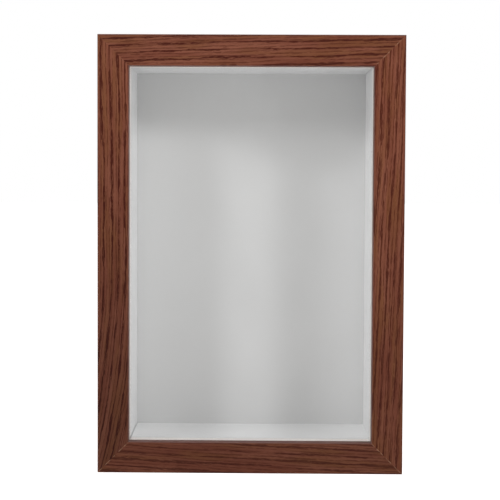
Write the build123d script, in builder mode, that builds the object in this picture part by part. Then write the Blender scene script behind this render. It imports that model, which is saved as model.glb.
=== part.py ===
from build123d import *
import os

# A deep display box built like a picture frame: a mitred wooden moulding, a pane of glass behind
# its lip, white liner strips that make the side walls, and a back that comes out from behind.
# Millimetres. X runs across the front, Y from the glass to the back, Z up.
# The origin is the middle of the wooden box's bottom face.

# ---- glass and moulding ------------------------------------------------------------------
pane_width = 200
pane_height = 300
pane_thickness = 2
pane_play = 0.5  # between the pane and the moulding on each side
pane_edge_chamfer = 0.2
leg_thickness = 15  # side wall of the moulding
lip_overlap = 8.5  # how far the front lip stands in over the pane
lip_thickness = 8
front_arris_radius = 1.2
rear_arris_radius = 0.5

# ---- liner strips and boards -------------------------------------------------------------
display_depth = 60  # from the back of the lip to the face of the display board
liner_thickness = 8
liner_edge_radius = 0.4
liner_joint_gap = 0.6  # the top and bottom strips are cut this much short
board_thickness = 3
backing_thickness = 3
backing_edge_chamfer = 0.3
backing_recess = 0.3  # below the moulding's rear face, so that the turn buttons clear it

# ---- corner V-nails ----------------------------------------------------------------------
v_nail_leg = 5
v_nail_sheet = 0.6
v_nail_length = 10
v_nail_spots = (4, 12.5)  # from the outer corner along the mitre

# ---- screws ------------------------------------------------------------------------------
shank_radius = 1.5
shank_length = 10
point_length = 2.5
point_taper = 28  # degrees
head_radius = 3.2
head_height = 1.9
head_edge_radius = 1.1
recess_length = 3.4
recess_width = 0.7
recess_depth = 0.9

# ---- turn buttons ------------------------------------------------------------------------
button_thickness = 1.2
button_boss_radius = 4.5
button_tip_radius = 3
button_reach = 17  # from the pivot to the centre of the tip's round end
button_bore_play = 0.05
button_edge_radius = 0.25
bead_length = 8
bead_width = 2.2
bead_height = 0.4
bead_centre = 11.5  # from the pivot
side_button_spacing = 120

# ---- ring hangers ------------------------------------------------------------------------
hanger_height = 272  # of both eyes above the bottom face
strap_thickness = 0.8
strap_width = 9
strap_length = 20  # below the eye
strap_corner_radius = 3.5
strap_hole_radius = 1.7
strap_screw_drops = (6.2, 15.5)  # below the eye
ring_wire_radius = 0.8
ring_play = 0.08  # between the ring's bar and the eye
ring_half_width = 6.3  # to the middle of the wire
ring_side = 5  # from the bar down to where the bow begins
ring_bend_radius = 1.5

# ---- wall bumpers ------------------------------------------------------------------------
bumper_radius = 5
bumper_thickness = 3.6
bumper_edge_radius = 0.9
bumper_height = 26  # above the bottom face

# ---- worked out --------------------------------------------------------------------------
rebate_width = pane_width + 2 * pane_play
rebate_height = pane_height + 2 * pane_play
face_width = leg_thickness + lip_overlap
outer_width = rebate_width + 2 * leg_thickness
outer_height = rebate_height + 2 * leg_thickness
box_depth = lip_thickness + display_depth + board_thickness + backing_thickness + backing_recess
front_y = -box_depth / 2
rear_y = box_depth / 2
lip_back_y = front_y + lip_thickness
pane_back_y = lip_back_y + pane_thickness
board_front_y = lip_back_y + display_depth
backing_front_y = board_front_y + board_thickness
leg_middle = leg_thickness / 2
ring_eye_radius = ring_wire_radius + ring_play
ring_eye_y = rear_y + ring_eye_radius + strap_thickness

rearwards = Vector(0, 1, 0)

# Each side of the box: the middle of its outer face, the way inwards, and its length.
sides = {
    "bottom": (Vector(0, 0, 0), Vector(0, 0, 1), outer_width),
    "top": (Vector(0, 0, outer_height), Vector(0, 0, -1), outer_width),
    "left": (Vector(-outer_width / 2, 0, outer_height / 2), Vector(1, 0, 0), outer_height),
    "right": (Vector(outer_width / 2, 0, outer_height / 2), Vector(-1, 0, 0), outer_height),
}

# Turn buttons: the side each is on, and how far it is from the middle of that side.
turn_buttons = {
    "turn_button_top": ("top", 0),
    "turn_button_bottom": ("bottom", 0),
    "turn_button_left_upper": ("left", side_button_spacing / 2),
    "turn_button_left_lower": ("left", -side_button_spacing / 2),
    "turn_button_right_upper": ("right", -side_button_spacing / 2),
    "turn_button_right_lower": ("right", side_button_spacing / 2),
}

hanger_x = outer_width / 2 - leg_middle
hangers = {"left": -hanger_x, "right": hanger_x}


def depth_plane(y):
    """An upright plane that faces the front, with local X and Y along X and Z.
    A positive extrusion goes forwards and a negative one goes rearwards."""
    return Plane.XZ.offset(-y)


def along(side):
    """The direction that runs along a side, clockwise round the box seen from the front."""
    return sides[side][1].cross(rearwards)


def rear_spot(side, offset):
    """A point on the rear face of a side, in the middle of the wood."""
    edge, inwards, _ = sides[side]
    return edge + along(side) * offset + inwards * leg_middle + rearwards * rear_y


def screws(spots, seat_y):
    """Cross-recessed pan-head wood screws driven forwards, with their heads seated at seat_y."""
    grip = seat_y - rear_y
    with BuildPart() as group:
        with BuildSketch(depth_plane(seat_y)):
            with Locations(*spots):
                Circle(head_radius)
        extrude(amount=-head_height)
        fillet(group.faces().sort_by(Axis.Y)[-len(spots):].edges(), head_edge_radius)
        with BuildSketch(depth_plane(seat_y + head_height)):
            with Locations(*spots):
                Rectangle(recess_length, recess_width)
                Rectangle(recess_width, recess_length)
        extrude(amount=recess_depth, mode=Mode.SUBTRACT)
        with BuildSketch(depth_plane(seat_y)):
            with Locations(*spots):
                Circle(shank_radius)
        extrude(amount=grip + shank_length)
        with BuildSketch(depth_plane(rear_y - shank_length)):
            with Locations(*spots):
                Circle(shank_radius)
        extrude(amount=point_length, taper=point_taper)
    return group.part


# ---- fasteners: they come first, because the rails are cut to take them ------------------
button_spots = [rear_spot(side, offset) for side, offset in turn_buttons.values()]
turn_button_screws = screws(
    [(spot.X, spot.Z) for spot in button_spots],
    rear_y + button_thickness + button_bore_play,
)

hanger_screws = screws(
    [(x, hanger_height - drop) for x in hangers.values() for drop in strap_screw_drops],
    rear_y + strap_thickness,
)

# V-shaped steel nails driven across each mitre from behind, with their points to the corner.
with BuildPart() as corner_v_nails:
    reach = v_nail_leg / 2**0.5
    sheet = v_nail_sheet / 2**0.5
    for corner_x, inwards_x in ((-outer_width / 2, 1), (outer_width / 2, -1)):
        for corner_z, inwards_z in ((0, 1), (outer_height, -1)):
            corner = Plane(
                origin=(corner_x, rear_y, corner_z),
                x_dir=(inwards_x, 0, inwards_z),
                z_dir=-rearwards,
            )
            with BuildSketch(corner):
                for spot in v_nail_spots:
                    with BuildLine():
                        Polyline(
                            (spot, 0),
                            (spot + reach, reach),
                            (spot + reach + sheet, reach - sheet),
                            (spot + 2 * sheet, 0),
                            (spot + reach + sheet, sheet - reach),
                            (spot + reach, -reach),
                            close=True,
                        )
                    make_face()
            extrude(amount=v_nail_length)


# ---- moulding ----------------------------------------------------------------------------
def mitred_rail(side):
    """One side of the box: an L-section moulding with both ends cut at 45 degrees."""
    edge, inwards, length = sides[side]
    with BuildPart() as rail:
        with BuildSketch(Plane(origin=edge, x_dir=inwards, z_dir=along(side))) as section:
            with BuildLine():
                Polyline(
                    (0, front_y),
                    (face_width, front_y),
                    (face_width, lip_back_y),
                    (leg_thickness, lip_back_y),
                    (leg_thickness, rear_y),
                    (0, rear_y),
                    close=True,
                )
            make_face()
            fillet(section.vertices().group_by(Axis.Y)[0], front_arris_radius)
            rear_outer = section.vertices().group_by(Axis.Y)[-1].sort_by(Axis.X)[0]
            fillet(rear_outer, rear_arris_radius)
        extrude(amount=length / 2, both=True)
        for end in (along(side), -along(side)):
            mitre = Plane(origin=edge + end * (length / 2), z_dir=end + inwards)
            split(bisect_by=mitre, keep=Keep.BOTTOM)
        add(corner_v_nails.part, mode=Mode.SUBTRACT)
        add(turn_button_screws, mode=Mode.SUBTRACT)
        add(hanger_screws, mode=Mode.SUBTRACT)
    return rail.part


# ---- glass -------------------------------------------------------------------------------
with BuildPart() as glass_pane:
    with BuildSketch(depth_plane(lip_back_y)):
        with Locations((0, leg_thickness)):
            Rectangle(pane_width, pane_height, align=(Align.CENTER, Align.MIN))
    extrude(amount=-pane_thickness)
    chamfer(glass_pane.edges(), pane_edge_chamfer)


# ---- liner -------------------------------------------------------------------------------
def liner_strip(low, high):
    """A flat strip from the pane to the display board, between two corners in X and Z."""
    (low_x, low_z), (high_x, high_z) = low, high
    with BuildPart() as strip:
        with BuildSketch(depth_plane(pane_back_y)):
            with Locations(low):
                Rectangle(high_x - low_x, high_z - low_z, align=Align.MIN)
        extrude(amount=pane_back_y - board_front_y)
        fillet(strip.faces().sort_by(Axis.Y)[0].edges(), liner_edge_radius)
    return strip.part


liner_left_x = -rebate_width / 2
liner_right_x = rebate_width / 2
liner_bottom_z = leg_thickness
liner_top_z = leg_thickness + rebate_height
wall_left_x = liner_left_x + liner_thickness
wall_right_x = liner_right_x - liner_thickness

liner_left = liner_strip((liner_left_x, liner_bottom_z), (wall_left_x, liner_top_z))
liner_right = liner_strip((wall_right_x, liner_bottom_z), (liner_right_x, liner_top_z))
liner_bottom = liner_strip(
    (wall_left_x + liner_joint_gap, liner_bottom_z),
    (wall_right_x, liner_bottom_z + liner_thickness),
)
liner_top = liner_strip(
    (wall_left_x, liner_top_z - liner_thickness),
    (wall_right_x - liner_joint_gap, liner_top_z),
)

# ---- back --------------------------------------------------------------------------------
with BuildPart() as display_board:
    with BuildSketch(depth_plane(board_front_y)):
        with Locations((0, leg_thickness)):
            Rectangle(pane_width, pane_height, align=(Align.CENTER, Align.MIN))
    extrude(amount=-board_thickness)

with BuildPart() as backing_board:
    with BuildSketch(depth_plane(backing_front_y)):
        with Locations((0, leg_thickness)):
            Rectangle(pane_width, pane_height, align=(Align.CENTER, Align.MIN))
    extrude(amount=-backing_thickness)
    chamfer(backing_board.faces().sort_by(Axis.Y)[-1].edges(), backing_edge_chamfer)


# ---- turn buttons ------------------------------------------------------------------------
def turn_button(side, offset):
    """A pressed steel turn button, turned aside along its rail so that the back is free."""
    seat = Plane(origin=rear_spot(side, offset), x_dir=along(side), z_dir=rearwards)
    with BuildPart() as button:
        with BuildSketch(seat):
            Circle(button_boss_radius)
            with Locations((button_reach, 0)):
                Circle(button_tip_radius)
            make_hull()
            Circle(shank_radius + button_bore_play, mode=Mode.SUBTRACT)
        extrude(amount=button_thickness)
        fillet(button.faces().sort_by(Axis.Y)[-1].outer_wire().edges(), button_edge_radius)
        with BuildSketch(seat.offset(button_thickness)):
            with Locations((bead_centre, 0)):
                SlotOverall(bead_length, bead_width)
        extrude(amount=bead_height)
        fillet(button.faces().sort_by(Axis.Y)[-1].edges(), button_edge_radius)
    return button.part


# ---- ring hangers ------------------------------------------------------------------------
def hanger_strap(x):
    """A steel strap that is screwed to the wood and rolled into an eye at its upper end."""
    with BuildPart() as strap:
        with BuildSketch(Plane.YZ.offset(x)) as section:
            with Locations((rear_y, hanger_height)):
                Rectangle(strap_thickness, strap_length, align=(Align.MIN, Align.MAX))
            with Locations((ring_eye_y, hanger_height)):
                Circle(ring_eye_radius + strap_thickness)
                Circle(ring_eye_radius, mode=Mode.SUBTRACT)
        extrude(amount=strap_width / 2, both=True)
        lower_corners = strap.edges().filter_by(Axis.Y).group_by(Axis.Z)[0]
        fillet(lower_corners, strap_corner_radius)
        with BuildSketch(depth_plane(rear_y + strap_thickness)):
            with Locations(*[(x, hanger_height - drop) for drop in strap_screw_drops]):
                Circle(strap_hole_radius)
        extrude(amount=strap_thickness, mode=Mode.SUBTRACT)
    return strap.part


def hanger_ring(x):
    """A D-shaped wire ring that hangs from the strap's eye."""
    bar_end = ring_half_width - ring_bend_radius
    hanging = Plane(origin=(x, ring_eye_y, hanger_height), x_dir=(1, 0, 0), z_dir=-rearwards)
    with BuildPart() as ring:
        with BuildLine(hanging) as path:
            bar = Line((-bar_end, 0), (bar_end, 0))
            bend = TangentArc(bar @ 1, (ring_half_width, -ring_bend_radius), tangent=bar % 1)
            leg = Line(bend @ 1, (ring_half_width, -ring_side))
            bow = TangentArc(leg @ 1, (-ring_half_width, -ring_side), tangent=leg % 1)
            other_leg = Line(bow @ 1, (-ring_half_width, -ring_bend_radius))
            TangentArc(other_leg @ 1, bar @ 0, tangent=other_leg % 1)
        with BuildSketch(Plane(origin=path.line @ 0, z_dir=path.line % 0)):
            Circle(ring_wire_radius)
        sweep()
    return ring.part


# ---- wall bumpers ------------------------------------------------------------------------
with BuildPart() as wall_bumpers:
    with BuildSketch(depth_plane(rear_y)):
        with Locations((-hanger_x, bumper_height), (hanger_x, bumper_height)):
            Circle(bumper_radius)
    extrude(amount=-bumper_thickness)
    fillet(wall_bumpers.faces().sort_by(Axis.Y)[-2:].edges(), bumper_edge_radius)


# ---- one file for each node --------------------------------------------------------------
pieces = {f"rail_{side}": mitred_rail(side) for side in sides}
pieces |= {
    "corner_v_nails": corner_v_nails.part,
    "glass_pane": glass_pane.part,
    "liner_left": liner_left,
    "liner_right": liner_right,
    "liner_bottom": liner_bottom,
    "liner_top": liner_top,
    "display_board": display_board.part,
    "backing_board": backing_board.part,
    "turn_button_screws": turn_button_screws,
    "hanger_screws": hanger_screws,
    "wall_bumpers": wall_bumpers.part,
}
pieces |= {name: turn_button(side, offset) for name, (side, offset) in turn_buttons.items()}
pieces |= {f"hanger_strap_{side}": hanger_strap(x) for side, x in hangers.items()}
pieces |= {f"hanger_ring_{side}": hanger_ring(x) for side, x in hangers.items()}

os.makedirs("parts", exist_ok=True)
for name, piece in pieces.items():
    piece.label = name
    export_step(piece, f"parts/{name}.step")
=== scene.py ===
import bpy
import math
from mathutils import Matrix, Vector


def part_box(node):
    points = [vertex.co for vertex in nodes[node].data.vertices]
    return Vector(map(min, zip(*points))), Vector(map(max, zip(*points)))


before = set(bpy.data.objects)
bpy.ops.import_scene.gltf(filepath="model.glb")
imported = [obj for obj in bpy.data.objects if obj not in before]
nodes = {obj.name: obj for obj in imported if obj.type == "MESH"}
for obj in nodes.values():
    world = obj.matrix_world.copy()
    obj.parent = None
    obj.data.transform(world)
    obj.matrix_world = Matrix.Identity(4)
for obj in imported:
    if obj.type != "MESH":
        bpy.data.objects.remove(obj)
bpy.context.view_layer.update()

MM = 0.001  # a millimetre in metres

# ---- places taken from the frame, in millimetres ---------------------------------------------
left_low, left_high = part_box("rail_left")
right_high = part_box("rail_right")[1]
HALF_WIDTH = right_high[0] / MM
HEIGHT = right_high[2] / MM
FRONT_Y = left_low[1] / MM
REAR_Y = right_high[1] / MM
FACE_WIDTH = (left_high[0] - left_low[0]) / MM
PANE_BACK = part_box("glass_pane")[1][1] / MM

# ---- camera: its place in front of the box, in metres, and the way it is tilted, in degrees ---
CAMERA_PLACE = (0.0001, -0.8552, 0.2234)
CAMERA_PITCH = -2.075  # below the horizon
CAMERA_YAW = 0.576
CAMERA_ROLL = 0.253
CAMERA_LENS = 78.5  # mm, on a sensor of SENSOR_WIDTH
SENSOR_WIDTH = 36.0
CAMERA_SHIFT = (0.02, -0.064)  # the picture is framed a little right of and below the lens axis

# ---- colours, linear --------------------------------------------------------------------------
GRAIN_LIGHT = (0.178, 0.061, 0.034)
GRAIN_BODY = (0.128, 0.036, 0.019)
GRAIN_SHADE = (0.088, 0.022, 0.012)
GRAIN_WARM = (0.135, 0.05, 0.015)
GRAIN_DARK = (0.046, 0.0065, 0.002)
RAW_BOARD = (0.4, 0.27, 0.16)
MITRE_EDGE = (0.42, 0.25, 0.16)
# Painted highlight colour for the lip's inner edge and the outer arris.
EDGE_HIGHLIGHT = (0.2, 0.105, 0.09)
LINER_WHITE = (0.8, 0.802, 0.805)
# Cream of the liner strips' cut edge, made lighter than the wrap as a painted highlight.
LINER_CREAM_HIGHLIGHT = (0.97, 0.915, 0.875)
BOARD_WHITE = (0.55, 0.55, 0.55)
BOARD_FIBRE = (0.5, 0.5, 0.49)
BACKING_BROWN = (0.24, 0.13, 0.065)
BACKING_FIBRE = (0.15, 0.075, 0.035)
BACKING_FLECK = (0.42, 0.28, 0.16)
RUBBER_BLACK = (0.016, 0.016, 0.017)
RUBBER_DUST = (0.12, 0.115, 0.11)
FLOOR_PALE = (0.93, 0.93, 0.93)
FLOOR_SHADE = (0.91, 0.91, 0.91)
WHITE = (1.0, 1.0, 1.0)


def scaled(colour, factor):
    return tuple(c * factor for c in colour)


# ---- shader nodes -----------------------------------------------------------------------------
class Nodes:
    """Fills one node tree. Most methods add a node and return its output socket. Places and sizes
    are in millimetres."""

    def __init__(self, tree):
        self.tree = tree
        self.tree.nodes.clear()

    def add(self, kind, inputs=None, output=0, **settings):
        node = self.tree.nodes.new(kind)
        for key, value in settings.items():
            setattr(node, key, value)
        for key, value in (inputs or {}).items():
            self.set_input(node.inputs[key], value)
        return node.outputs[output]

    def set_input(self, socket, value):
        if isinstance(value, bpy.types.NodeSocket):
            self.tree.links.new(value, socket)
        elif socket.type == "RGBA" and len(value) == 3:
            socket.default_value = (*value, 1.0)
        else:
            socket.default_value = value

    def math(self, operation, a, b=0.0, c=0.0):
        return self.add("ShaderNodeMath", {0: a, 1: b, 2: c}, operation=operation)

    def range(self, value, low, high, to_low=0.0, to_high=1.0):
        """A smooth step from to_low to to_high as value goes from low to high."""
        inputs = {"Value": value, "From Min": low, "From Max": high, "To Min": to_low, "To Max": to_high}
        return self.add("ShaderNodeMapRange", inputs, interpolation_type="SMOOTHSTEP")

    def stretch(self, noise, to_low=0.0, to_high=1.0):
        """The same for noise, most of which lies between 0.3 and 0.7."""
        return self.range(noise, 0.3, 0.7, to_low, to_high)

    def mix(self, share, a, b, blend="MIX"):
        """Two colours mixed. The node's inputs 6 and 7 and output 2 are its colours."""
        inputs = {0: share, 6: a, 7: b}
        return self.add("ShaderNodeMix", inputs, output=2, data_type="RGBA", blend_type=blend)

    def times(self, colour, factor):
        """A colour made lighter or darker."""
        return self.mix(1.0, colour, self.point(factor, factor, factor), "MULTIPLY")

    def split(self, vector):
        separate = self.tree.nodes.new("ShaderNodeSeparateXYZ")
        self.tree.links.new(vector, separate.inputs[0])
        return tuple(separate.outputs)

    def place(self):
        """The point's X, Y and Z in the frame."""
        point = self.add("ShaderNodeTexCoord", output="Object")
        return self.split(self.add("ShaderNodeVectorMath", {0: point, "Scale": 1 / MM}, operation="SCALE"))

    def point(self, x, y, z):
        return self.add("ShaderNodeCombineXYZ", {0: x, 1: y, 2: z})

    def noise(self, xyz, sizes, seed=0.0, detail=2.0, roughness=0.5, distortion=0.0):
        """Noise whose features have these three sizes."""
        per_size = tuple(1 / size for size in sizes)
        offset = (seed, seed * 1.7, seed * 0.6)
        where = {0: self.point(*xyz), 1: per_size, 2: offset}
        inputs = {
            "Vector": self.add("ShaderNodeVectorMath", where, operation="MULTIPLY_ADD"),
            "Scale": 1.0,
            "Detail": detail,
            "Roughness": roughness,
            "Distortion": distortion,
        }
        return self.add("ShaderNodeTexNoise", inputs)

    def bump(self, height, strength, depth):
        return self.add("ShaderNodeBump", {"Height": height, "Strength": strength, "Distance": depth * MM})

    def principled(self, colour, rough, normal=None, **others):
        """The Principled shader. Its other inputs go by their own names, with _ for a space."""
        inputs = {"Base Color": colour, "Roughness": rough}
        if normal is not None:
            inputs["Normal"] = normal
        inputs.update({key.replace("_", " "): value for key, value in others.items()})
        return self.add("ShaderNodeBsdfPrincipled", inputs)

    def end(self, shader, kind="ShaderNodeOutputMaterial"):
        output = self.tree.nodes.new(kind)
        self.tree.links.new(shader, output.inputs[0])


def new_material(name):
    """An empty material and the Nodes that fill it."""
    material = bpy.data.materials.new(name)
    material.use_nodes = True
    return material, Nodes(material.node_tree)


# ---- wood-grain moulding ----------------------------------------------------------------------
GRAIN_PITCH = 5.6  # between the dark lines
# Each line is a string of dashes made of torn strands: the least and the greatest width of a dash,
# the length over which it swells, and the strands' thickness.
DARK_LINES = {"pitch": GRAIN_PITCH, "widths": (0.1, 1.2), "length": 20, "strand": 0.5}
FINE_LINES = {"pitch": GRAIN_PITCH * 0.43, "widths": (0.1, 0.6), "length": 13, "strand": 0.45}
# Each rail's painted shade at its low or left end and at the other (darker lower down, as the light falls
# off), and how its lines look, lean and bend.
RAIL_CUTS = {
    "rail_top": {"painted_shade_ends": (0.99, 0.99), "dark": 0.97, "lean": -0.035, "bend": 0.0, "seed": 4.0},
    "rail_bottom": {"painted_shade_ends": (0.72, 0.72), "dark": 0.76, "lean": 0.055, "bend": 0.0, "seed": 15.0},
    "rail_left": {"painted_shade_ends": (0.585, 1.05), "dark": 1.0, "lean": 0.0, "bend": 0.00085, "seed": 26.0},
    "rail_right": {"painted_shade_ends": (0.825, 1.1), "dark": 0.88, "lean": -0.045, "bend": 0.0, "seed": 37.0},
}
RAILS_ACROSS = ("rail_top", "rail_bottom")
BEND_BELOW = 150.0  # height under which a rail's lines bend, if they do
SEAM_WIDTH = (0.36, 0.12)  # a mitre's pale line fades out from the second to the first
SEAM_STRENGTH = 0.5
TIGHT_CORNER = ((-60.0, -70.0), (250.0, 270.0))  # X and Z over which the top left mitre closes
# Where the painted edge highlights lie, fading out over these widths:
ARRIS_FACE = (1.0, 0.3)  # the outer arris, on the front face and on the sides
ARRIS_SIDE = (1.4, 0.6)
LIP_FADE = (0.5, 0.15)
BARE_FADE = (0.45, 0.3)  # where the wrap stops, in front of the rear edge
LINE_DRIFT = 9.0  # how far the lines wander
DRIFT_SIZE = (24, 24, 150)
LINE_SOFTNESS = 0.24
HAIRLINE_WIDTH = (0.5, 0.05)  # a line's thin core fades out from the second to the first
HAIRLINE_DARK = 0.55
FINE_DARK = 0.62
PORE_DARK = 0.4
WOOD_ROUGH = (0.42, 0.55)
RAW_ROUGHER = 0.35
WOOD_RELIEF = 0.1  # depth
WOOD_SPECULAR = 0.1


def grain_lines(n, grain, seed, pitch, widths, length, strand):
    """Lines along the rail. Returns their dashes, 0 to 1, and the distance from a line's middle."""
    across, y, _ = grain
    wander = n.noise(grain, DRIFT_SIZE, seed)
    ring = n.math("MULTIPLY_ADD", across, 1 / pitch, n.math("MULTIPLY", wander, LINE_DRIFT / pitch))
    ring = n.math("FRACT", n.math("MULTIPLY_ADD", y, 0.8 / pitch, ring))
    off_line = n.math("MULTIPLY", n.math("ABSOLUTE", n.math("SUBTRACT", ring, 0.5)), pitch)
    swell = n.noise(grain, (pitch * 0.8, pitch * 0.8, length), seed + 3.1, roughness=0.6)
    width = n.range(swell, 0.3, 0.68, *widths)
    zone = n.range(n.math("SUBTRACT", width, off_line), -LINE_SOFTNESS, LINE_SOFTNESS)
    torn = n.noise(grain, (strand, strand, strand * 9), seed + 5.7, detail=3.0, roughness=0.6)
    return n.range(n.math("MULTIPLY_ADD", zone, 0.5, torn), 0.84, 0.98), off_line


def grain_place(n, runs_across, cut):
    """The point across, through and along the grain, which leans or bends as the rail's cut says."""
    x, y, z = n.place()
    length, across = (x, z) if runs_across else (z, x)
    across = n.math("MULTIPLY_ADD", length, cut["lean"], across)
    if cut["bend"]:
        below = n.math("MAXIMUM", n.math("SUBTRACT", BEND_BELOW, length), 0.0)
        across = n.math("MULTIPLY_ADD", n.math("MULTIPLY", below, below), cut["bend"], across)
    return across, y, length


def grain_colour(n, grain, fibre, cut):
    """The wood's colour, with lines, fine lines and pores. Returns it with the lines and pores."""
    seed = cut["seed"]
    lines, off_line = grain_lines(n, grain, seed, **DARK_LINES)
    lines = n.math("MAXIMUM", lines, n.range(off_line, *HAIRLINE_WIDTH, 0.0, HAIRLINE_DARK))
    fine_lines, _ = grain_lines(n, grain, seed + 20, **FINE_LINES)
    pores = n.range(n.noise(grain, (0.4, 0.4, 4.5), seed + 9.2), 0.56, 0.68)

    # Between the lines the tone drifts from light to body colour and to a warmer brown.
    drift = n.stretch(n.noise(grain, (5, 5, 70), seed + 1.3, detail=3.0, roughness=0.55))
    warm = n.range(n.noise(grain, (7, 7, 45), seed + 11.4), 0.42, 0.68, 0.0, 0.55)
    colour = n.mix(drift, GRAIN_BODY, GRAIN_LIGHT)
    colour = n.mix(warm, colour, GRAIN_WARM)
    colour = n.mix(n.stretch(fibre, 0.0, 0.3), colour, GRAIN_SHADE)
    colour = n.mix(n.math("MULTIPLY", fine_lines, FINE_DARK), colour, GRAIN_DARK)
    colour = n.mix(n.math("MULTIPLY", pores, PORE_DARK), colour, GRAIN_DARK)
    colour = n.mix(n.math("MULTIPLY", lines, cut["dark"]), colour, GRAIN_DARK)
    return colour, lines, pores


def with_mitre_seams(n, colour, xyz, from_side, from_end):
    """At each mitre the cut edge of the wrap shows as a fine pale line, where it isn't tight."""
    x, y, z = xyz
    off_mitre = n.math("ABSOLUTE", n.math("SUBTRACT", from_side, from_end))
    gappy = n.range(n.noise(xyz, (3.5, 3.5, 3.5), 2.2), 0.42, 0.6)
    tight = n.math("MULTIPLY", n.range(x, *TIGHT_CORNER[0]), n.range(z, *TIGHT_CORNER[1]))
    gappy = n.math("MULTIPLY", gappy, n.math("SUBTRACT", 1.0, n.math("MULTIPLY", tight, 0.8)))
    seam = n.math("MULTIPLY", n.range(off_mitre, *SEAM_WIDTH), gappy)
    return n.mix(n.math("MULTIPLY", seam, SEAM_STRENGTH), colour, MITRE_EDGE)


def with_painted_edge_highlights(n, colour, y, from_edge):
    """Painted highlights: the inner edge of the lip is made lighter, and so, a little, is the outer arris.
    """
    on_face = n.range(from_edge, *ARRIS_FACE)
    on_side = n.range(y, *(FRONT_Y + depth for depth in ARRIS_SIDE))
    arris = n.math("MULTIPLY", on_face, on_side)
    colour = n.mix(n.math("MULTIPLY", arris, 0.3), colour, EDGE_HIGHLIGHT)
    lip_highlight = n.range(from_edge, *(FACE_WIDTH - inset for inset in LIP_FADE))
    return n.mix(n.math("MULTIPLY", lip_highlight, 0.6), colour, EDGE_HIGHLIGHT)


def raw_board(n, xyz):
    speck = n.noise(xyz, (0.7, 0.7, 0.7), 4.4, detail=4.0, roughness=0.7)
    return n.times(RAW_BOARD, n.stretch(speck, 0.8, 1.12))


def moulding(name, runs_across, cut):
    """Oak-grain wrap on one rail, with the grain along it, painted shade lower down, pale mitre seams,
    painted highlights on its edges and a raw rear face.
    """
    material, n = new_material(name)
    xyz = x, y, z = n.place()
    grain = grain_place(n, runs_across, cut)
    fibre = n.noise(grain, (0.4, 0.4, 15), cut["seed"] + 7.9, detail=3.0, roughness=0.6)
    colour, lines, pores = grain_colour(n, grain, fibre, cut)
    # Painted shade: the colour is darkened along the rail, most towards the bottom, as the light falls off.
    if runs_across:
        painted_shade = n.range(x, -HALF_WIDTH, HALF_WIDTH, *cut["painted_shade_ends"])
    else:
        painted_shade = n.range(z, 0.0, HEIGHT, *cut["painted_shade_ends"])
    colour = n.times(colour, painted_shade)

    from_side = n.math("SUBTRACT", HALF_WIDTH, n.math("ABSOLUTE", x))
    from_end = n.math("MINIMUM", z, n.math("SUBTRACT", HEIGHT, z))
    colour = with_mitre_seams(n, colour, xyz, from_side, from_end)
    colour = with_painted_edge_highlights(n, colour, y, n.math("MINIMUM", from_side, from_end))
    bare = n.range(y, *(REAR_Y - depth for depth in BARE_FADE))
    colour = n.mix(bare, colour, raw_board(n, xyz))

    rough = n.math("MULTIPLY_ADD", bare, RAW_ROUGHER, n.range(fibre, 0.2, 0.8, *WOOD_ROUGH))
    relief = n.math("MULTIPLY_ADD", lines, -1.0, n.math("MULTIPLY", pores, -0.7))
    relief = n.math("MULTIPLY_ADD", fibre, 0.35, relief)
    normal = n.bump(relief, 0.5, WOOD_RELIEF)
    n.end(n.principled(colour, rough, normal, Specular_IOR_Level=WOOD_SPECULAR))
    return material


# ---- white liner and boards -------------------------------------------------------------------
LINERS = ("liner_top", "liner_bottom", "liner_left", "liner_right")
# The front band below is the strip's cream cut edge, partly its own colour and partly a painted highlight.
EDGE_DEPTH = 10.5  # how far behind the pane a liner strip's cream edge reaches
BOTTOM_EDGE_DEPTH = 6.5
EDGE_FADE = 0.8
LINER_ROUGH = (0.3, 0.42)
LINER_SPECULAR = 0.3
BOARD_ROUGH = (0.82, 0.95)
BOARD_SPECULAR = 0.25
BACKING_ROUGH = (0.55, 0.8)


def liner_white(name, seed, edge_depth):
    """Satin white wrap on the liner strips, with faint ripples, and a cream cut edge at the front,
    brightened further as a painted highlight.
    """
    material, n = new_material(name)
    xyz = x, y, z = n.place()
    soft = n.noise(xyz, (38, 30, 38), seed)
    fine = n.noise(xyz, (0.6, 0.6, 0.6), seed + 2.0, detail=3.0, roughness=0.6)
    colour = n.mix(n.stretch(soft), LINER_WHITE, scaled(LINER_WHITE, 0.96))
    from_pane = n.math("SUBTRACT", y, PANE_BACK)
    # Painted highlight: the front band of the strip, its cream cut edge, is painted lighter than the white
    # wrap.
    colour = n.mix(n.range(from_pane, edge_depth + EDGE_FADE, edge_depth), colour, LINER_CREAM_HIGHLIGHT)
    rough = n.stretch(soft, *LINER_ROUGH)
    normal = n.bump(n.math("MULTIPLY_ADD", fine, 0.25, soft), 0.25, 0.25)
    n.end(n.principled(colour, rough, normal, Specular_IOR_Level=LINER_SPECULAR))
    return material


def display_white():
    """Matt white paper with a faint tooth on the display board."""
    material, n = new_material("display_paper")
    xyz = n.place()
    cloud = n.noise(xyz, (60, 60, 60), 1.0)
    fibre = n.noise(xyz, (0.5, 0.5, 0.9), 3.0, detail=4.0, roughness=0.65)
    tooth = n.noise(xyz, (2.0, 2.0, 2.0), 6.0)
    colour = n.mix(n.stretch(cloud), BOARD_WHITE, scaled(BOARD_WHITE, 0.97))
    colour = n.mix(n.range(fibre, 0.35, 0.75, 0.0, 0.12), colour, BOARD_FIBRE)
    colour = n.mix(n.stretch(tooth, 0.0, 0.16), colour, BOARD_FIBRE)
    normal = n.bump(n.math("MULTIPLY_ADD", tooth, 0.6, fibre), 0.35, 0.08)
    rough = n.stretch(fibre, *BOARD_ROUGH)
    n.end(n.principled(colour, rough, normal, Specular_IOR_Level=BOARD_SPECULAR))
    return material


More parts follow.
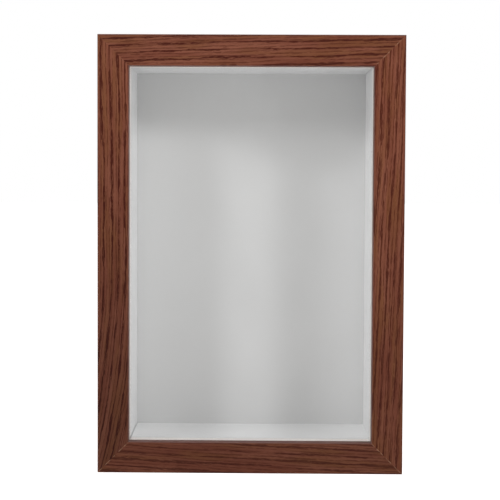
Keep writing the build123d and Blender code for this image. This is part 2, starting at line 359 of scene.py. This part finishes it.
def hardboard():
    """Brown hardboard: pressed fibres and lighter flecks."""
    material, n = new_material("backing_hardboard")
    xyz = n.place()
    cloud = n.noise(xyz, (45, 45, 45), 2.0, detail=3.0)
    fibre = n.noise(xyz, (0.7, 0.7, 2.4), 5.0, detail=4.0, roughness=0.7, distortion=1.2)
    fleck = n.noise(xyz, (0.9, 0.9, 0.6), 8.0)
    colour = n.mix(n.stretch(cloud), BACKING_BROWN, scaled(BACKING_BROWN, 1.25))
    colour = n.mix(n.stretch(fibre, 0.0, 0.6), colour, BACKING_FIBRE)
    colour = n.mix(n.range(fleck, 0.62, 0.72, 0.0, 0.7), colour, BACKING_FLECK)
    normal = n.bump(fibre, 0.4, 0.15)
    rough = n.stretch(fibre, *BACKING_ROUGH)
    n.end(n.principled(colour, rough, normal))
    return material


# ---- glass ------------------------------------------------------------------------------------
HEAD_ON_GLOSS = 0.04  # the share of light that each face of the pane sends back
GLASS_TINT = (0.988, 0.989, 0.988)
LINT_COLOUR = (0.85, 0.85, 0.85)
LINT_COVER = 0.5
PANE_ROUGH = (0.04, 0.09)


def pane():
    """Clear thin glass: it shows what is behind it and adds a soft reflection of the room."""
    material, n = new_material("pane_glass")
    xyz = n.place()
    smear = n.noise(xyz, (30, 30, 55), 1.0, detail=3.0)
    rough = n.stretch(smear, *PANE_ROUGH)
    clear = n.add("ShaderNodeBsdfTransparent", {"Color": GLASS_TINT})
    gloss = n.add("ShaderNodeBsdfGlossy", {"Color": WHITE, "Roughness": rough})
    facing = n.add("ShaderNodeLayerWeight", {"Blend": 0.5}, output="Facing")
    share = n.math("MULTIPLY_ADD", n.math("POWER", facing, 5.0), 1.0 - HEAD_ON_GLOSS, HEAD_ON_GLOSS)
    surface = n.add("ShaderNodeMixShader", {0: share, 1: clear, 2: gloss})
    lint = n.range(n.noise(xyz, (0.55, 0.55, 0.8), 12.0, detail=1.0), 0.79, 0.82)
    dust = n.add("ShaderNodeBsdfDiffuse", {"Color": LINT_COLOUR})
    n.end(n.add("ShaderNodeMixShader", {0: n.math("MULTIPLY", lint, LINT_COVER), 1: surface, 2: dust}))
    return material


# ---- metal and rubber -------------------------------------------------------------------------
SCRATCH_ALL_WAYS = (0.25, 0.25, 0.25)
SCRATCH_ALONG_X = (1.8, 0.12, 0.12)
SCRATCH_ALONG_Z = (0.12, 0.12, 1.6)
METALS = {
    "zinc_turn_button": {"colour": (0.62, 0.62, 0.6), "rough": 0.3, "seed": 1.0, "scratch": SCRATCH_ALONG_Z},
    "zinc_strap": {"colour": (0.6, 0.6, 0.6), "rough": 0.28, "seed": 4.0, "scratch": SCRATCH_ALONG_X},
    "nickel_ring": {"colour": (0.72, 0.7, 0.66), "rough": 0.16, "seed": 7.0},
    "yellow_zinc_screw": {"colour": (0.68, 0.57, 0.33), "rough": 0.26, "seed": 9.0},
    "dark_v_nail": {"colour": (0.3, 0.3, 0.31), "rough": 0.42, "seed": 12.0},
}
DULLED = 0.5  # how much of its colour a dull patch keeps
PATCH_ROUGHER = 0.25
SCRATCH_ROUGHER = 0.12
RUBBER_ROUGH = (0.6, 0.8)


def metal(name):
    """Plated steel with fine scratches and dull patches."""
    kind = METALS[name]
    colour, rough, seed = kind["colour"], kind["rough"], kind["seed"]
    material, n = new_material(name)
    xyz = n.place()
    patch = n.noise(xyz, (4, 4, 4), seed, detail=3.0, roughness=0.6)
    sizes = kind.get("scratch", SCRATCH_ALL_WAYS)
    scratch = n.noise(xyz, sizes, seed + 2.0, detail=3.0, roughness=0.7)
    dull = scaled(colour, DULLED)
    tint = n.mix(n.range(patch, 0.35, 0.75, 0.0, 0.5), colour, dull)
    tint = n.mix(n.range(scratch, 0.55, 0.8, 0.0, 0.35), tint, dull)
    scratched = n.range(scratch, 0.3, 0.8, rough, rough + SCRATCH_ROUGHER)
    rough = n.math("MULTIPLY_ADD", patch, PATCH_ROUGHER, scratched)
    normal = n.bump(scratch, 0.2, 0.03)
    n.end(n.principled(tint, rough, normal, Metallic=1.0))
    return material


def rubber():
    """Dull black rubber with a fine moulded tooth and a little dust."""
    material, n = new_material("bumper_rubber")
    xyz = n.place()
    tooth = n.noise(xyz, (0.25, 0.25, 0.25), 3.0, detail=3.0, roughness=0.7)
    dust = n.noise(xyz, (2.5, 2.5, 2.5), 6.0, detail=3.0)
    colour = n.mix(n.range(dust, 0.45, 0.75, 0.0, 0.3), RUBBER_BLACK, RUBBER_DUST)
    rough = n.stretch(tooth, *RUBBER_ROUGH)
    n.end(n.principled(colour, rough, n.bump(tooth, 0.35, 0.05)))
    return material


# ---- the nodes' materials ---------------------------------------------------------------------
def dress(material, *names):
    """Gives CAD nodes a material through their own slots."""
    for name in names:
        for slot in nodes[name].material_slots:
            slot.material = material


def dress_box():
    for name, cut in RAIL_CUTS.items():
        material = moulding(name.replace("rail", "moulding"), name in RAILS_ACROSS, cut)
        dress(material, name)
    for index, name in enumerate(LINERS):
        edge_depth = BOTTOM_EDGE_DEPTH if name == "liner_bottom" else EDGE_DEPTH
        material = liner_white(name.replace("liner", "liner_wrap"), 5.0 * index, edge_depth)
        dress(material, name)
    dress(display_white(), "display_board")
    dress(hardboard(), "backing_board")
    dress(pane(), "glass_pane")


def dress_hardware():
    buttons = [name for name in nodes if name.startswith("turn_button_") and "screws" not in name]
    dress(metal("zinc_turn_button"), *buttons)
    dress(metal("zinc_strap"), "hanger_strap_left", "hanger_strap_right")
    dress(metal("nickel_ring"), "hanger_ring_left", "hanger_ring_right")
    dress(metal("yellow_zinc_screw"), "turn_button_screws", "hanger_screws")
    dress(metal("dark_v_nail"), "corner_v_nails")
    dress(rubber(), "wall_bumpers")


# ---- studio -----------------------------------------------------------------------------------
FLOOR_RADIUS = 9.0  # metres
FLOOR_CORNERS = 96
FLOOR_ROUGH = 0.9
FLOOR_GLOW = 0.3
FLOOR_WHITE = 0.5  # how much whiter the floor is to the camera than to the rest of the scene
ROOM_LIGHT = 0.7
MIDDLE_PANEL = 1.48  # soft bright panels that stand in front of the box, for the pane to reflect
LEFT_PANEL = 1.15
RIGHT_PANEL = 1.8
# How far the panels reach, as slopes from the box: how far right, or up, for each metre ahead.
# At each edge the light rises from the first value to the second.
MIDDLE_REACH = ((-0.044, -0.009), (0.044, 0.005))
LEFT_REACH = ((-0.32, -0.25), (-0.035, -0.115))
RIGHT_REACH = ((0.045, 0.1), (0.32, 0.25))
PANEL_TOP = (0.06, 0.028)
TOP_STEPS = (  # where the panels' top edge steps down, and by how much, below 0 for up
    ((-0.06, 0.05), 0.03),
    ((0.095, 0.108), -0.03),
    ((-0.06, -0.1), -0.006),
)
ABOVE_PANELS = (0.15, 0.84)  # the room just above those panels, and higher up
ABOVE_RISE = (0.055, 0.105)  # how high up the first gives way to the second
ABOVE_RIGHT = 0.5  # how much of that light the right half has
ABOVE_SIDES = (-0.03, 0.03)  # where the left half gives way to the right
ROOM_END = (0.25, 0.15)  # beyond this the room is even again
LAMP_TARGET = (0.0, 0.0, 0.2)
LAMPS = {  # degrees to the right, degrees up, distance and size in metres, and watts
    "key_low": (0, 30, 1.4, (0.4, 0.3), 0.48),
    "key_middle": (0, 37, 1.2, (0.4, 0.25), 2.52),
    "key_high": (0, 45, 1.0, (0.4, 0.25), 0.78),
    "side_left": (-55, 8, 1.2, (0.45, 0.45), 2.64),
    "side_right": (55, 8, 1.2, (0.45, 0.45), 3.38),
}


def floor_mesh():
    turns = [corner * math.tau / FLOOR_CORNERS for corner in range(FLOOR_CORNERS)]
    corners = [(FLOOR_RADIUS * math.cos(a), FLOOR_RADIUS * math.sin(a), 0.0) for a in turns]
    mesh = bpy.data.meshes.new("studio_floor")
    mesh.from_pydata(corners, [], [tuple(range(FLOOR_CORNERS))])
    return mesh


def studio_floor():
    """A wide pale floor that glows a little. It doesn't show in gloss, so that low down the pane
    reflects the room's panels too."""
    mesh = floor_mesh()
    floor = bpy.data.objects.new("studio_floor", mesh)
    bpy.context.scene.collection.objects.link(floor)
    material, n = new_material("studio_floor")
    cloud = n.noise(n.place(), (400, 400, 400), 1.0)
    colour = n.mix(n.stretch(cloud), FLOOR_PALE, FLOOR_SHADE)
    to_camera = n.add("ShaderNodeLightPath", output="Is Camera Ray")
    glow = n.math("MULTIPLY_ADD", to_camera, FLOOR_WHITE, FLOOR_GLOW)
    n.end(n.principled(colour, FLOOR_ROUGH, Emission_Color=WHITE, Emission_Strength=glow))
    mesh.materials.append(material)
    floor.visible_glossy = False


def lamp(name, right, up, distance, size, watts):
    """A soft rectangular lamp that faces the box. Those at the sides don't show in the pane."""
    light = bpy.data.lights.new(name, "AREA")
    light.shape = "RECTANGLE"
    light.size, light.size_y = size
    light.energy = watts
    holder = bpy.data.objects.new(name, light)
    bpy.context.scene.collection.objects.link(holder)
    turn = Matrix.Rotation(math.radians(right), 4, "Z") @ Matrix.Rotation(math.radians(90 - up), 4, "X")
    holder.matrix_world = Matrix.Translation(LAMP_TARGET) @ turn @ Matrix.Translation((0, 0, distance))
    holder.visible_camera = False
    holder.visible_glossy = not name.startswith("side")


def room_masks(n):
    """The slopes to the right and up of a ray towards the front, and how far it is in the part with
    the panels and in the part above them, 0 to 1."""
    x, y, z = n.split(n.add("ShaderNodeTexCoord", output="Generated"))
    ahead = n.math("MAXIMUM", n.math("MULTIPLY", y, -1.0), 0.05)
    right = n.math("DIVIDE", x, ahead)
    up = n.math("DIVIDE", z, ahead)
    in_front = n.range(y, 0.0, -0.3)
    stepped = up
    for ends, drop in TOP_STEPS:
        stepped = n.math("ADD", stepped, n.range(right, *ends, 0.0, drop))
    lower = n.math("MULTIPLY", n.range(stepped, *PANEL_TOP), in_front)
    near_middle = n.range(n.math("ABSOLUTE", right), *ROOM_END)
    upper = n.math("MULTIPLY", n.math("SUBTRACT", in_front, lower), n.range(up, *ROOM_END))
    return right, up, lower, n.math("MULTIPLY", upper, near_middle)


def panel_light(n, right):
    """The light of the three panels: one to the left, a narrow one in the middle, one to the right."""
    middle, left, far_right = (
        n.math("MULTIPLY", n.range(right, *reach[0]), n.range(right, *reach[1]))
        for reach in (MIDDLE_REACH, LEFT_REACH, RIGHT_REACH)
    )
    panels = n.math("MULTIPLY_ADD", left, LEFT_PANEL, n.math("MULTIPLY", far_right, RIGHT_PANEL))
    return n.math("MULTIPLY_ADD", middle, MIDDLE_PANEL, panels)


def studio_room():
    """White to the camera. To the rest of the scene it is an even room, with the bright panels
    and the darker upper part that the pane reflects."""
    world = bpy.data.worlds.new("studio")
    world.use_nodes = True
    n = Nodes(world.node_tree)
    right, up, lower, upper = room_masks(n)
    high_up = n.range(up, *ABOVE_RISE, *ABOVE_PANELS)
    upper_light = n.math("MULTIPLY", high_up, n.range(right, *ABOVE_SIDES, 1.0, ABOVE_RIGHT))
    strength = n.math("MULTIPLY_ADD", panel_light(n, right), lower, ROOM_LIGHT)
    strength = n.math("MULTIPLY", strength, n.math("SUBTRACT", 1.0, upper))
    strength = n.math("MULTIPLY_ADD", upper, upper_light, strength)
    room = n.add("ShaderNodeBackground", {"Strength": strength})
    white = n.add("ShaderNodeBackground", {"Strength": 1.0, "Color": WHITE})
    to_camera = n.add("ShaderNodeLightPath", output="Is Camera Ray")
    n.end(n.add("ShaderNodeMixShader", {0: to_camera, 1: room, 2: white}), "ShaderNodeOutputWorld")
    bpy.context.scene.world = world


def set_camera():
    lens = bpy.data.cameras.new("camera")
    lens.lens = CAMERA_LENS
    lens.sensor_width = SENSOR_WIDTH
    lens.shift_x, lens.shift_y = CAMERA_SHIFT
    camera = bpy.data.objects.new("camera", lens)
    bpy.context.scene.collection.objects.link(camera)
    camera.matrix_world = (
        Matrix.Translation(CAMERA_PLACE)
        @ Matrix.Rotation(math.radians(CAMERA_YAW), 4, "Z")
        @ Matrix.Rotation(math.radians(90 + CAMERA_PITCH), 4, "X")
        @ Matrix.Rotation(math.radians(CAMERA_ROLL), 4, "Z")
    )
    bpy.context.scene.camera = camera


dress_box()
dress_hardware()
studio_floor()
studio_room()
for name, settings in LAMPS.items():
    lamp(name, *settings)
bpy.context.scene.view_settings.view_transform = "Standard"
set_camera()
